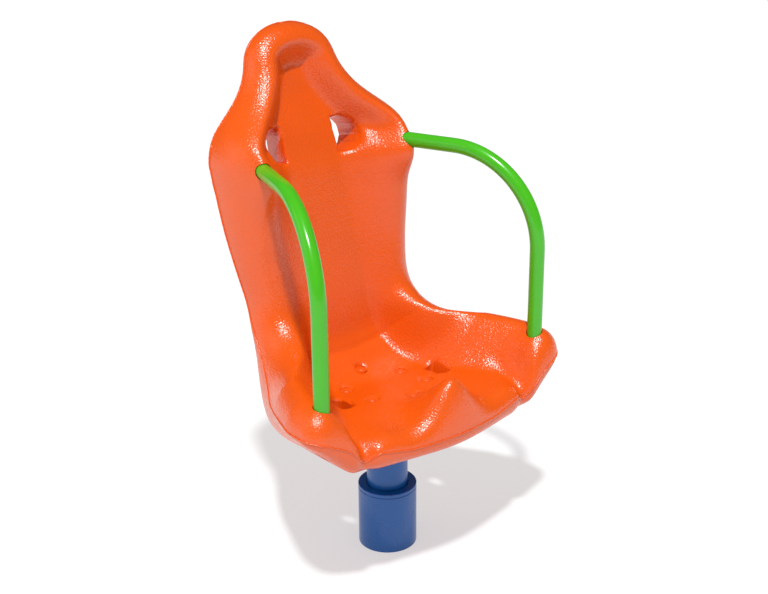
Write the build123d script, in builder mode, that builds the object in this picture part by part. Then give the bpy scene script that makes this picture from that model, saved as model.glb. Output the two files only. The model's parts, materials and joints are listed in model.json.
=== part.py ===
"""Spinning bucket seat for a playground: a high-backed moulded seat with two grab bars,
turning on a short post that hides its spindle and bearings.

Frame: millimetres, +Z up, origin on the post's axis at ground level.
The seat faces -Y; left and right are those of a child sitting in it, so left is +X.
"""
from build123d import *
import math
import os

# ---------------------------------------------------------------- driving dimensions
# Fixed post
POST_OD = 127.0
POST_WALL = 5.0
POST_HEIGHT = 142.5
CAP_LIP = 9.0
CAP_SPIGOT = 16.0
CAP_WALL = 5.0
JOINT_CHAMFER = 1.0
STEM_WINDOW = 1.5          # gap all round the stem where it leaves the cap
SLIP = 0.2                 # radial clearance of fixed pieces that slide together

# Base flange and its anchor holes
FLANGE_T = 12.0
BOSS_D = 60.0
BOSS_H = 8.0
ANCHOR_PCD = 92.0
ANCHOR_HOLE = 13.5
ANCHOR_COUNT = 4
ANCHOR_HEAD_ROOM = 22.0    # height kept free above the flange for nuts and washers
GRUB_D = 6.0
GRUB_LENGTH = 10.0
GRUB_SOCKET_AF = 3.0
GRUB_ANGLES = (5.0, 95.0)

# Bearings: deep groove, 35 x 72 x 17
BEARING_BORE = 35.0
BEARING_OD = 72.0
BEARING_WIDTH = 17.0
BALL_D = 11.1
BALL_COUNT = 9
BALL_GAP = 0.25            # modelled gap between a ball and its grooves
RACE_INNER_LAND = 46.0
RACE_OUTER_LAND = 61.0
CAGE_T = 2.4
CAGE_HEIGHT = 13.4
POCKET_GAP = 0.15
LOWER_BEARING_Z = 50.0
BEARING_SPAN = 128.0       # lower face to lower face

# Spindle and what holds the bearings on it
SPINDLE_SHOULDER_D = 43.0
SPINDLE_THREAD_D = 24.0
SPACER_WALL = 3.5
WASHER_OD = 44.0
WASHER_T = 4.0
NUT_AF = 36.0
NUT_H = 19.0
NUT_CROWN_D = 34.0
NUT_CROWN_H = 8.0
NUT_SLOT = 5.5
PIN_D = 4.6
THREAD_PROUD = 3.0

# Turning stem, bearing cups and seat plate
STEM_OD = 88.9
STEM_WALL = 5.0
CUP_LIP = 3.5
CUP_LIP_WALL = 5.0
CUP_SKIRT = 5.0
CIRCLIP_T = 2.5
CIRCLIP_GROOVE = 1.6
CIRCLIP_INSIDE = 3.4
CIRCLIP_OPENING = 60.0     # degrees
PLATE_D = 216.0
PLATE_T = 8.0
PLATE_ACCESS_D = 52.0
GUSSET_T = 6.0
GUSSET_H = 52.0
GUSSET_INSET = 10.0
SEAL_T = 5.0
SEAL_GAP = 0.4

# Seat bolts
SEAT_BOLT_COUNT = 6
SEAT_BOLT_R = 86.0
SEAT_BOLT_D = 10.0
BOLT_CLEAR = 1.0
RECESS_D = 26.0
RECESS_FLOOR_Z = 350.0
BOSS_WALL = 8.0
BUTTON_D = 17.5
BUTTON_H = 5.5
BUTTON_SOCKET_AF = 6.0
SEAT_WASHER_D = 24.0
SEAT_WASHER_T = 2.0
BOLT_NUT_AF = 17.0
BOLT_NUT_H = 9.5
BOLT_PROUD = 3.0
BOLT_CAP_D = 25.4
BOLT_CAP_T = 5.0
BOLT_CAP_SUNK = 3.0        # rim of the cap below the pan
BOLT_CAP_DOME = 2.0

# Seat shell: where its middle runs, seen from the side
PAN_Z = 376.0
RECLINE = math.radians(76.8)
BEND_R = 190.0
BACK_FOOT_Y = 127.3        # where the lines of the pan and the back would cross
FRONT_Y = -235.0
HEAD_Z = 1103.0
WALL = 6.0
UNDERSIDE_Z = 312.0
HEAD_ROUND = 75.0

# The seat shell is described by lines of (distance along the middle, value): distance 0 is
# where the pan starts to bend up into the back, and heights are measured square to the middle
# line, positive towards the child. FRONT, BEND_END and TOP are the ends of its three runs.
BEND_START_Y = BACK_FOOT_Y - BEND_R * math.tan(RECLINE / 2)
BEND_END = BEND_R * RECLINE
FRONT = FRONT_Y - BEND_START_Y
TOP = BEND_END + (HEAD_Z - PAN_Z - BEND_R * (1 - math.cos(RECLINE))) / math.sin(RECLINE)

HALF_WIDTH = [(FRONT + 60, 339), (FRONT + 130, 337), (-30, 318), (60, 282), (130, 240), (200, 212),
              (280, 204), (360, 216), (450, 227), (540, 230), (600, 228), (650, 207), (700, 152),
              (750, 114), (800, 104)]
PARTING = [(FRONT, 46), (0, 39), (90, 16), (170, -6), (260, -35), (400, -39), (600, -46), (800, -38)]
BOLSTER = [(FRONT, 97), (0, 102), (90, 96), (170, 71), (260, 30), (360, 32), (460, 56), (540, 76),
           (610, 80), (680, 30), (800, 4)]
BOLSTER_FOOT = [(FRONT, 222), (-90, 190), (0, 135), (127, 95), (BEND_END, 70), (800, 45)]
EDGE_ROLL = [(FRONT, 47), (0, 50), (BEND_END, 53), (400, 50), (540, 56), (650, 42), (800, 42)]
DISH = [(FRONT, 4), (-63, 9), (-22, 6.5), (23, 0), (68, -19), (105, -24), (171, -24), (215, -5),
        (BEND_END, 0), (300, 0), (540, 0), (620, -10), (700, -28), (800, -36)]
THICKNESS = [(FRONT, 56), (-60, 64), (0, 64), (60, 77), (100, 98), (140, 94), (200, 78), (300, 68),
             (600, 74), (800, 84)]
# The same for the front lip, by distance from the middle of the seat
LIP_CREST = [(0, 4), (110, 3), (160, 12), (190, 8), (213, -14), (232, 15), (255, 70), (285, 96)]
LIP_HOLLOW_W = 330.0
LIP_HOLLOW_L = 60.0
LIP_HOLLOW_Z = 331.0
LIP_HOLLOW_H = 36.0
LIP_PARTING = [(0, -26), (120, -26), (188, -15), (213, -40), (238, -12), (262, 13), (300, 32),
               (345, 46)]
POMMEL_HEIGHT = 84.0
POMMEL_SPREAD = 57.0
POMMEL_LENGTH = 145.0
NOTCH_X = 213.0            # two notches in the front lip, one beside each thigh
NOTCH_DEPTH = 22.0
NOTCH_SPREAD = 17.0
SHOULDER_X = 188.0         # the lobes that take the grab bars
SHOULDER_S = 540.0
SHOULDER_HEIGHT = 22.0

FRONT_POINTS = 31
BACK_POINTS = 21

# Openings in the shell
PAN_SLOT_W = 34.0
PAN_SLOT_L = 62.0
PAN_SLOT_R = 14.0
PAN_SLOT_X = 132.0
PAN_SLOT_Y = -12.0
BACK_SLOT_W = 54.0
BACK_SLOT_H = 76.0
BACK_SLOT_R = 8.0
BACK_SLOT_X = 68.0         # its straight inner edge
BACK_SLOT_Z = 860.0
SLOT_WALL = 5.0

# Grab bars
BAR_OD = 31.75
BAR_WALL = 2.6
BAR_X = 285.5
BAR_Y = -151.6
BAR_FOOT_Z = 398.0
BAR_BEND_Z = 650.1
BAR_BEND_R = 197.9
BAR_BEND = 91.2            # degrees
BAR_TOE_IN = 18.0          # degrees
BAR_TOP_RUN = 232.0
BAR_CLEAR = 0.2
SOCKET_MOUTH_CLEAR = 1.5
SOCKET_MOUTHS = (56.0, 107.0)   # where the mouths begin, from a bar's foot and from its tip
SOCKET_WALL = 8.0
SOCKET_WEB = 10.0
PLUG_LENGTH = 25.0
BAR_BOLT_D = 10.0
BAR_BOLT_GRIP = 22.0
BAR_BOLT_AF = 17.0
BAR_BOLT_HEAD_H = 6.4
BAR_WASHER_OD = 24.0
BAR_WASHER_T = 2.5
BAR_RECESS_D = 30.0

os.makedirs("parts", exist_ok=True)


def save(part, name):
    """Label a finished piece and write its STEP file."""
    part.label = name
    export_step(part, f"parts/{name}.step")


def ring(outer_d, inner_d, z, height):
    """A plain ring standing on height z."""
    with BuildPart() as body:
        with BuildSketch(Plane.XY.offset(z)):
            Circle(outer_d / 2)
            Circle(inner_d / 2, mode=Mode.SUBTRACT)
        extrude(amount=height)
    return body.part


# ---------------------------------------------------------------- fixed post
POST_ID = POST_OD - 2 * POST_WALL
FLANGE_D = POST_ID - 2 * SLIP
CAP_BASE_Z = POST_HEIGHT - CAP_LIP
GRUB_Z = FLANGE_T / 2

with BuildPart() as base_flange:
    with BuildSketch():
        Circle(FLANGE_D / 2)
    extrude(amount=FLANGE_T)
    with BuildSketch(Plane.XY.offset(FLANGE_T)):
        Circle(BOSS_D / 2)
    extrude(amount=BOSS_H)
    with PolarLocations(ANCHOR_PCD / 2, ANCHOR_COUNT, start_angle=45):
        Hole(ANCHOR_HOLE / 2)
    for angle in GRUB_ANGLES:
        rim = Plane(origin=Vector(FLANGE_D / 2, 0, GRUB_Z).rotate(Axis.Z, angle),
                    z_dir=Vector(1, 0, 0).rotate(Axis.Z, angle))
        with BuildSketch(rim):
            Circle(GRUB_D / 2)
        extrude(amount=-GRUB_LENGTH, mode=Mode.SUBTRACT)
save(base_flange.part, "base_flange")

with BuildPart() as post_sleeve:
    with BuildSketch():
        Circle(POST_OD / 2)
        Circle(POST_ID / 2, mode=Mode.SUBTRACT)
    extrude(amount=CAP_BASE_Z)
    rim_edges = post_sleeve.edges().filter_by(GeomType.CIRCLE).group_by(Axis.Z)[-1]
    chamfer(rim_edges.sort_by(SortBy.RADIUS)[-1], JOINT_CHAMFER)
    for angle in GRUB_ANGLES:
        wall = Plane(origin=Vector(POST_ID / 2 - SLIP, 0, GRUB_Z).rotate(Axis.Z, angle),
                     z_dir=Vector(1, 0, 0).rotate(Axis.Z, angle))
        with BuildSketch(wall):
            Circle(GRUB_D / 2)
        extrude(amount=POST_WALL + 1, mode=Mode.SUBTRACT)
save(post_sleeve.part, "post_sleeve")

CAP_WINDOW = STEM_OD + 2 * STEM_WINDOW
CAP_SPIGOT_D = POST_ID - 2 * SLIP
SEAL_OD = CAP_SPIGOT_D - 2 * CAP_WALL
SEAL_Z = CAP_BASE_Z - SEAL_T
with BuildPart() as post_cap:
    with BuildSketch(Plane.XY.offset(CAP_BASE_Z)):
        Circle(POST_OD / 2)
        Circle(CAP_WINDOW / 2, mode=Mode.SUBTRACT)
    extrude(amount=CAP_LIP)
    with BuildSketch(Plane.XY.offset(CAP_BASE_Z - CAP_SPIGOT)):
        Circle(CAP_SPIGOT_D / 2)
        Circle(SEAL_OD / 2, mode=Mode.SUBTRACT)
    extrude(amount=CAP_SPIGOT)
    outer_edges = post_cap.edges().filter_by(GeomType.CIRCLE).sort_by(SortBy.RADIUS)[-2:]
    chamfer(outer_edges, JOINT_CHAMFER)
save(post_cap.part, "post_cap")

with BuildPart() as dust_seal:
    with BuildSketch(Plane.XY.offset(SEAL_Z)):
        Circle(SEAL_OD / 2)
        Circle(STEM_OD / 2 + SEAL_GAP, mode=Mode.SUBTRACT)
    extrude(amount=SEAL_T)
save(dust_seal.part, "dust_seal")

with BuildPart() as grub_screws:
    for angle in GRUB_ANGLES:
        outside = Plane(origin=Vector(FLANGE_D / 2, 0, GRUB_Z).rotate(Axis.Z, angle),
                        z_dir=Vector(1, 0, 0).rotate(Axis.Z, angle))
        with BuildSketch(outside):
            Circle(GRUB_D / 2)
        extrude(amount=POST_WALL + SLIP - 1)
        with BuildSketch(outside):
            Circle(GRUB_D / 2)
        extrude(amount=-GRUB_LENGTH)
        with BuildSketch(outside.offset(POST_WALL + SLIP - 1)):
            RegularPolygon(GRUB_SOCKET_AF / 2, 6, major_radius=False)
        extrude(amount=-GRUB_D / 2, mode=Mode.SUBTRACT)
save(grub_screws.part, "grub_screws")

# ---------------------------------------------------------------- spindle and bearings
UPPER_BEARING_Z = LOWER_BEARING_Z + BEARING_SPAN
SPACER_Z = LOWER_BEARING_Z + BEARING_WIDTH
WASHER_Z = UPPER_BEARING_Z + BEARING_WIDTH
NUT_Z = WASHER_Z + WASHER_T
NUT_TOP = NUT_Z + NUT_H + NUT_CROWN_H
PIN_Z = NUT_Z + NUT_H + NUT_CROWN_H / 2

with BuildPart() as spindle:
    with BuildSketch(Plane.XY.offset(FLANGE_T + BOSS_H)):
        Circle(SPINDLE_SHOULDER_D / 2)
    extrude(amount=LOWER_BEARING_Z - FLANGE_T - BOSS_H)
    with BuildSketch(Plane.XY.offset(LOWER_BEARING_Z)):
        Circle(BEARING_BORE / 2)
    extrude(amount=WASHER_Z - LOWER_BEARING_Z)
    with BuildSketch(Plane.XY.offset(WASHER_Z)):
        Circle(SPINDLE_THREAD_D / 2)
    extrude(amount=NUT_TOP + THREAD_PROUD - WASHER_Z)
    chamfer(spindle.edges().sort_by(Axis.Z)[-1], 1.5)
    with BuildSketch(Plane.YZ) as pin_hole:
        with Locations((0, PIN_Z)):
            Circle(PIN_D / 2)
    extrude(amount=SPINDLE_THREAD_D, both=True, mode=Mode.SUBTRACT)
save(spindle.part, "spindle")

save(ring(BEARING_BORE + 2 * SPACER_WALL, BEARING_BORE, SPACER_Z, UPPER_BEARING_Z - SPACER_Z),
     "bearing_spacer")
save(ring(WASHER_OD, SPINDLE_THREAD_D + BOLT_CLEAR, WASHER_Z, WASHER_T), "spindle_washer")

with BuildPart() as spindle_nut:
    with BuildSketch(Plane.XY.offset(NUT_Z)):
        RegularPolygon(NUT_AF / 2, 6, major_radius=False)
        Circle(SPINDLE_THREAD_D / 2, mode=Mode.SUBTRACT)
    extrude(amount=NUT_H)
    with BuildSketch(Plane.XY.offset(NUT_Z + NUT_H)):
        Circle(NUT_CROWN_D / 2)
        Circle(SPINDLE_THREAD_D / 2, mode=Mode.SUBTRACT)
        for turn in (0, 60, 120):
            Rectangle(NUT_CROWN_D + 2, NUT_SLOT, rotation=turn, mode=Mode.SUBTRACT)
    extrude(amount=NUT_CROWN_H)
save(spindle_nut.part, "spindle_nut")

PIN_EYE_R = 6.0
with BuildPart() as split_pin:
    with BuildSketch(Plane.YZ.offset(-NUT_CROWN_D / 2 - 4)):
        with Locations((0, PIN_Z)):
            Circle(PIN_D / 2 - POCKET_GAP)
    extrude(amount=NUT_CROWN_D + 8)
    with BuildSketch(Plane.XZ):
        with Locations((-NUT_CROWN_D / 2 - 4 - PIN_EYE_R, PIN_Z)):
            Circle(PIN_EYE_R + 1)
            Circle(PIN_EYE_R - 2, mode=Mode.SUBTRACT)
    extrude(amount=PIN_D / 2 - POCKET_GAP, both=True)
save(split_pin.part, "split_pin")

BALL_PITCH_R = (BEARING_BORE + BEARING_OD) / 4
GROOVE_R = BALL_D / 2 + BALL_GAP


def race(inner_d, outer_d, z):
    """One race with its ball groove."""
    with BuildPart() as body:
        with BuildSketch(Plane.XZ):
            with Locations(((inner_d + outer_d) / 4, z + BEARING_WIDTH / 2)):
                Rectangle((outer_d - inner_d) / 2, BEARING_WIDTH)
            with Locations((BALL_PITCH_R, z + BEARING_WIDTH / 2)):
                Circle(GROOVE_R, mode=Mode.SUBTRACT)
        revolve(axis=Axis.Z)
    return body.part


def ball_set(z):
    """The balls of one bearing."""
    with BuildPart() as body:
        with PolarLocations(BALL_PITCH_R, BALL_COUNT):
            with Locations((0, 0, z + BEARING_WIDTH / 2)):
                Sphere(BALL_D / 2)
    return body.part


def cage(z):
    """The ring that spaces the balls, with a pocket for each."""
    with BuildPart() as body:
        with BuildSketch(Plane.XY.offset(z + (BEARING_WIDTH - CAGE_HEIGHT) / 2)):
            Circle(BALL_PITCH_R + CAGE_T / 2)
            Circle(BALL_PITCH_R - CAGE_T / 2, mode=Mode.SUBTRACT)
        extrude(amount=CAGE_HEIGHT)
        for k in range(BALL_COUNT):
            ray = Vector(1, 0, 0).rotate(Axis.Z, k * 360 / BALL_COUNT)
            with BuildSketch(Plane(origin=Vector(0, 0, z + BEARING_WIDTH / 2), z_dir=ray)):
                Circle(BALL_D / 2 + POCKET_GAP)
            extrude(amount=2 * BALL_PITCH_R, mode=Mode.SUBTRACT)
    return body.part


for place, bearing_z in (("lower", LOWER_BEARING_Z), ("upper", UPPER_BEARING_Z)):
    save(race(BEARING_BORE, RACE_INNER_LAND, bearing_z), f"{place}_bearing_inner_race")
    save(race(RACE_OUTER_LAND, BEARING_OD, bearing_z), f"{place}_bearing_outer_race")
    save(ball_set(bearing_z), f"{place}_bearing_balls")
    save(cage(bearing_z), f"{place}_bearing_cage")

# ---------------------------------------------------------------- turning stem
STEM_ID = STEM_OD - 2 * STEM_WALL
STEM_FOOT_Z = FLANGE_T + ANCHOR_HEAD_ROOM
PLATE_Z = UNDERSIDE_Z - PLATE_T
CUP_LIP_D = BEARING_OD - 2 * CUP_LIP_WALL

save(ring(STEM_OD, STEM_ID, STEM_FOOT_Z, PLATE_Z - STEM_FOOT_Z), "turning_stem")


def bearing_cup(z, lip_above):
    """A cup that seats a bearing in the stem: a lip on one side, a circlip groove on the other."""
    skirt = BEARING_WIDTH + CIRCLIP_T + CUP_SKIRT
    bottom = z - (0 if lip_above else CUP_LIP) - (CIRCLIP_T + CUP_SKIRT if lip_above else 0)
    clip_z = z - CIRCLIP_T if lip_above else z + BEARING_WIDTH
    lip_z = z + BEARING_WIDTH if lip_above else z - CUP_LIP
    with BuildPart() as body:
        with BuildSketch(Plane.XY.offset(bottom)):
            Circle(STEM_ID / 2)
            Circle(BEARING_OD / 2, mode=Mode.SUBTRACT)
        extrude(amount=skirt + CUP_LIP)
        with BuildSketch(Plane.XY.offset(lip_z)):
            Circle(STEM_ID / 2)
            Circle(CUP_LIP_D / 2, mode=Mode.SUBTRACT)
        extrude(amount=CUP_LIP)
        with BuildSketch(Plane.XY.offset(clip_z)):
            Circle(BEARING_OD / 2 + CIRCLIP_GROOVE)
        extrude(amount=CIRCLIP_T, mode=Mode.SUBTRACT)
    return body.part


save(bearing_cup(LOWER_BEARING_Z, True), "lower_bearing_cup")
save(bearing_cup(UPPER_BEARING_Z, False), "upper_bearing_cup")

with BuildPart() as bearing_circlips:
    for clip_z in (LOWER_BEARING_Z - CIRCLIP_T, UPPER_BEARING_Z + BEARING_WIDTH):
        gap_reach = BEARING_OD
        half_gap = math.radians(CIRCLIP_OPENING / 2)
        with BuildSketch(Plane.XY.offset(clip_z)):
            Circle(BEARING_OD / 2 + CIRCLIP_GROOVE)
            Circle(BEARING_OD / 2 - CIRCLIP_INSIDE, mode=Mode.SUBTRACT)
            with BuildLine():
                Polyline((0, 0), (gap_reach, gap_reach * math.tan(half_gap)),
                         (gap_reach, -gap_reach * math.tan(half_gap)), close=True)
            make_face(mode=Mode.SUBTRACT)
        extrude(amount=CIRCLIP_T)
save(bearing_circlips.part, "bearing_circlips")

with BuildPart() as seat_plate:
    with BuildSketch(Plane.XY.offset(PLATE_Z)):
        Circle(PLATE_D / 2)
        Circle(PLATE_ACCESS_D / 2, mode=Mode.SUBTRACT)
        with PolarLocations(SEAT_BOLT_R, SEAT_BOLT_COUNT, start_angle=90):
            Circle((SEAT_BOLT_D + BOLT_CLEAR) / 2, mode=Mode.SUBTRACT)
    extrude(amount=PLATE_T)
save(seat_plate.part, "seat_plate")

with BuildPart() as plate_gussets:
    reach = PLATE_D / 2 - GUSSET_INSET
    for k in range(SEAT_BOLT_COUNT):
        with BuildSketch(Plane.XZ.rotated((0, 0, k * 360 / SEAT_BOLT_COUNT))):
            with BuildLine():
                Polyline((STEM_OD / 2, PLATE_Z), (reach, PLATE_Z), (reach, PLATE_Z - GUSSET_T),
                         (STEM_OD / 2 + GUSSET_T, PLATE_Z - GUSSET_H),
                         (STEM_OD / 2, PLATE_Z - GUSSET_H), close=True)
            make_face()
        extrude(amount=GUSSET_T / 2, both=True)
save(plate_gussets.part, "plate_gussets")


# ---------------------------------------------------------------- seat surface
def ease(start, end, x):
    """A smooth step from 0 at start to 1 at end."""
    t = min(max((x - start) / (end - start), 0), 1)
    return t * t * (3 - 2 * t)


def read_line(keys, x):
    """The value of a line of (x, value) points at x, flat beyond its ends."""
    if x <= keys[0][0]:
        return keys[0][1]
    for (x0, v0), (x1, v1) in zip(keys, keys[1:]):
        if x <= x1:
            return v0 + (v1 - v0) * (x - x0) / (x1 - x0)
    return keys[-1][1]


def soft(keys, x, reach):
    """The same line with its corners rounded over plus and minus reach."""
    steps = [k / 4 for k in range(-4, 5)]
    weights = [math.exp(-2 * k * k) for k in steps]
    values = [read_line(keys, x + k * reach) for k in steps]
    return sum(w * v for w, v in zip(weights, values)) / sum(weights)


def set_back(x):
    """How far the front edge stands behind its middle."""
    return 33 * (1 - math.exp(-(x / 150) ** 2)) + 6 * (x / 300) ** 4


def notch(x):
    """The depth of the notch in the front edge."""
    return NOTCH_DEPTH * math.exp(-((abs(x) - NOTCH_X) / NOTCH_SPREAD) ** 2)


def half_width(s):
    """Half the width of the shell at distance s."""
    corner = min(max((s - FRONT) / 55, 0), 1)
    head = min(max((s - TOP + HEAD_ROUND) / HEAD_ROUND, 0), 1)
    width = soft(HALF_WIDTH, s, 45) - 44 * (1 - math.sqrt(1 - (1 - corner) ** 2))
    return width * math.sqrt(max(1 - head ** 2.2, 0))


def side_s(s):
    """The distance at which the side edge passes, once the front set-back is added."""
    return s + set_back(half_width(s)) * min(max(1 - (s - FRONT) / 150, 0), 1)


FRONT_HALF = half_width(FRONT)
RIM = [(FRONT_HALF * k / 40, FRONT + set_back(FRONT_HALF * k / 40)) for k in range(40)]
RIM += [(half_width(s), side_s(s))
        for s in [FRONT + (TOP - FRONT) * (1 - math.cos(math.pi * k / 120)) / 2 for k in range(121)]]


def edge_gap(x, s):
    """The distance from a point of the surface to the rim."""
    best = TOP
    for (x0, s0), (x1, s1) in zip(RIM, RIM[1:]):
        dx, ds = x1 - x0, s1 - s0
        length = dx * dx + ds * ds
        if length > 0:
            t = min(max(((x - x0) * dx + (s - s0) * ds) / length, 0), 1)
            best = min(best, math.hypot(x0 + t * dx - x, s0 + t * ds - s))
    return best


def roll(gap, radius):
    """The rounding of the rim: 0 on it, 1 from radius inwards."""
    t = min(max(gap / radius, 0), 1)
    return math.sqrt(1 - (1 - t) ** 2)


def skins(x, s, inset=0.0):
    """Heights of the front and back skins at x and s; inset gives those of the hollow inside."""
    x = abs(x)
    gap = edge_gap(x, s)
    ahead = s - FRONT - set_back(x)
    lip = 1 - ease(15, 110, ahead)
    bulb = ease(222, 278, x)
    front_roll = soft(EDGE_ROLL, s, 40) * (1 - lip) + lip * (26 + 22 * bulb)
    foot = soft(BOLSTER_FOOT, s, 40)
    side = ease(0, 1, (x - foot) / max(half_width(s) - front_roll - foot, 8))
    rim = ease(0, 1, (95 - gap) / (95 - 0.85 * front_roll))
    head = ease(540, 660, s)
    bolster = side * (1 - head) + rim * head
    floor = soft(DISH, s, 25)
    crest = floor + (soft(BOLSTER, s, 45) - floor) * bolster
    crest = crest * (1 - lip) + lip * soft(LIP_CREST, x, 12)
    crest += POMMEL_HEIGHT * math.exp(-(x / POMMEL_SPREAD) ** 2) \
        * ease(POMMEL_LENGTH + 20, 20, ahead) ** 1.3
    crest += SHOULDER_HEIGHT * math.exp(-((x - SHOULDER_X) / 40) ** 2 - ((s - SHOULDER_S) / 48) ** 2) \
        * min(gap / 40, 1)
    parting = soft(PARTING, s, 40) * (1 - lip) + lip * soft(LIP_PARTING, x, 12)
    lift = ease(215, 345, x) * 85 * (1 - ease(0, 140, s))
    wrap = 12 * ease(0, 1, (x / max(half_width(s), 1) - 0.45) / 0.55) * ease(100, 260, s)
    base = min(lift - soft(THICKNESS, s, 40), parting - 4) + wrap
    back_roll = 24 * lip + 50 * (1 - lip)
    front = parting + (crest - inset - parting) * roll(gap - inset, front_roll)
    back = parting + (base + inset - parting) * roll(gap - inset, back_roll)
    return front, back


def frame_at(s):
    """Where distance s lies on the middle line, and how far the line has turned up."""
    turn = min(max(s / BEND_R, 0), RECLINE)
    straight = max(s - BEND_END, 0)
    y = BEND_START_Y + min(s, 0) + BEND_R * math.sin(turn) + straight * math.cos(turn)
    z = PAN_Z + BEND_R * (1 - math.cos(turn)) + straight * math.sin(turn)
    return y, z, turn


def section_plane(s):
    """The plane square to the middle line at s, its local y pointing at the child."""
    y, z, turn = frame_at(s)
    return Plane(origin=(0, y, z), x_dir=(1, 0, 0), z_dir=(0, -math.cos(turn), -math.sin(turn)))


def section_half(s, inset):
    """Half the width of the section at s, kept inset clear of the rim."""
    low, high = 0.0, 360.0
    for _ in range(30):
        x = (low + high) / 2
        low_s, high_s = FRONT, TOP
        for _ in range(20):
            middle = (low_s + high_s) / 2
            low_s, high_s = (middle, high_s) if side_s(middle) < s else (low_s, middle)
        outside = x > half_width(low_s) or s < FRONT + set_back(x)
        if outside or edge_gap(x, s) < inset:
            high = x
        else:
            low = x
    return low


def section_lines(s, inset=0.0):
    """Points of the front and back lines of the section at s."""
    half = section_half(s, inset)
    front_line = []
    back_line = []
    for k in range(FRONT_POINTS):
        u = 2 * k / (FRONT_POINTS - 1) - 1
        x = half * (0.75 * math.sin(u * math.pi / 2) + 0.25 * u)
        front_line.append((x, skins(x, s, inset)[0]))
    for k in range(1, BACK_POINTS - 1):
        u = 1 - 2 * k / (BACK_POINTS - 1)
        x = half * (0.75 * math.sin(u * math.pi / 2) + 0.25 * u)
        back_line.append((x, skins(x, s, inset)[1]))
    return front_line, [front_line[-1]] + back_line + [front_line[0]]


def surface_point(x, s, height):
    """A point at a height over the middle surface, in the object's frame."""
    y, z, turn = frame_at(s)
    return Vector(x, y - height * math.sin(turn), z + height * math.cos(turn))


def pan_height(x, y):
    """The height of the top of the pan over the ground at x and y."""
    low, high = FRONT + 60, BEND_END
    for _ in range(30):
        s = (low + high) / 2
        if surface_point(x, s, skins(x, s)[0]).Y < y:
            low = s
        else:
            high = s
    return surface_point(x, low, skins(x, low)[0]).Z


def loft_between(stations, inset=0.0):
    """A solid lofted through the sections at the given stations."""
    with BuildPart() as body:
        for s in stations:
            front_line, back_line = section_lines(s, inset)
            with BuildSketch(section_plane(s)):
                with BuildLine():
                    Spline(*front_line)
                    Spline(*back_line)
                make_face()
        loft()
    return body.part


# ---------------------------------------------------------------- grab bar lines
TOE = math.radians(BAR_TOE_IN)
TURN = math.radians(BAR_BEND)


def bar_point(side, angle, run):
    """A point on a bar's axis: angle round its bend, then run along the straight after it."""
    reach = BAR_BEND_R * (1 - math.cos(angle)) + run * math.sin(angle)
    rise = BAR_BEND_R * math.sin(angle) + run * math.cos(angle)
    return Vector(side * (BAR_X - reach * math.sin(TOE)), BAR_Y + reach * math.cos(TOE), BAR_BEND_Z + rise)


def bar_ends(side):
    """Planes on the two ends of a bar, facing out of it."""
    tip = bar_point(side, TURN, BAR_TOP_RUN)
    foot = Vector(side * BAR_X, BAR_Y, BAR_FOOT_Z)
    return [Plane(origin=foot, z_dir=(0, 0, -1)), Plane(origin=tip, z_dir=tip - bar_point(side, TURN, 0))]


# ---------------------------------------------------------------- seat shell
BODY_STATIONS = [25, 60, 95, 130, 165, 200, 240, 290, 350, 410, 470, 520, 570, 620, 670, 720, 765]
outer = loft_between([FRONT + k for k in (3, 9, 18, 30, 46, 70, 105, 150, 190)] + BODY_STATIONS
                     + [TOP - k for k in (45, 22, 8, 2)])
hollow = loft_between([FRONT + k for k in (78, 105, 150, 190)] + BODY_STATIONS
                      + [TOP - k for k in (45, 24, 12)], WALL)
SOCKET_R = BAR_OD / 2 + SOCKET_WALL
PAD_R = PLATE_D / 2 + 4
DEEP = 200

with BuildPart() as posts:
    with BuildSketch(Plane.XY.offset(UNDERSIDE_Z - DEEP)):
        with PolarLocations(SEAT_BOLT_R, SEAT_BOLT_COUNT, start_angle=90):
            Circle(RECESS_D / 2 + BOSS_WALL)
        for side in (1, -1):
            with Locations((side * PAN_SLOT_X, PAN_SLOT_Y)):
                RectangleRounded(PAN_SLOT_W + 2 * SLOT_WALL, PAN_SLOT_L + 2 * SLOT_WALL,
                                 PAN_SLOT_R + SLOT_WALL)
    extrude(amount=2 * DEEP)
    for side in (1, -1):
        for end in bar_ends(side):
            with BuildSketch(end.offset(-DEEP)):
                Circle(SOCKET_R)
            extrude(amount=2 * DEEP)

slot_y, slot_z, slot_turn = frame_at(BEND_END + (BACK_SLOT_Z - frame_at(BEND_END)[1]) / math.sin(RECLINE))
BACK_FACE = Plane(origin=(0, slot_y, slot_z), x_dir=(1, 0, 0),
                  z_dir=(0, -math.sin(slot_turn), math.cos(slot_turn)))


def back_slots(margin):
    """The two D-shaped slots of the back, widened by margin, as cutting solids."""
    tall = BACK_SLOT_H / 2 + margin
    with BuildPart() as body:
        with BuildSketch(BACK_FACE) as outlines:
            for side in (1, -1):
                straight_x = side * (BACK_SLOT_X - margin)
                round_x = side * (BACK_SLOT_X + BACK_SLOT_W + margin)
                with BuildLine():
                    bow = ThreePointArc((straight_x, -tall), (round_x, -4), (straight_x, tall))
                    Line(bow @ 1, bow @ 0)
                make_face()
            fillet(outlines.vertices(), BACK_SLOT_R + margin)
        extrude(amount=DEEP, both=True)
    return body.part


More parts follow.
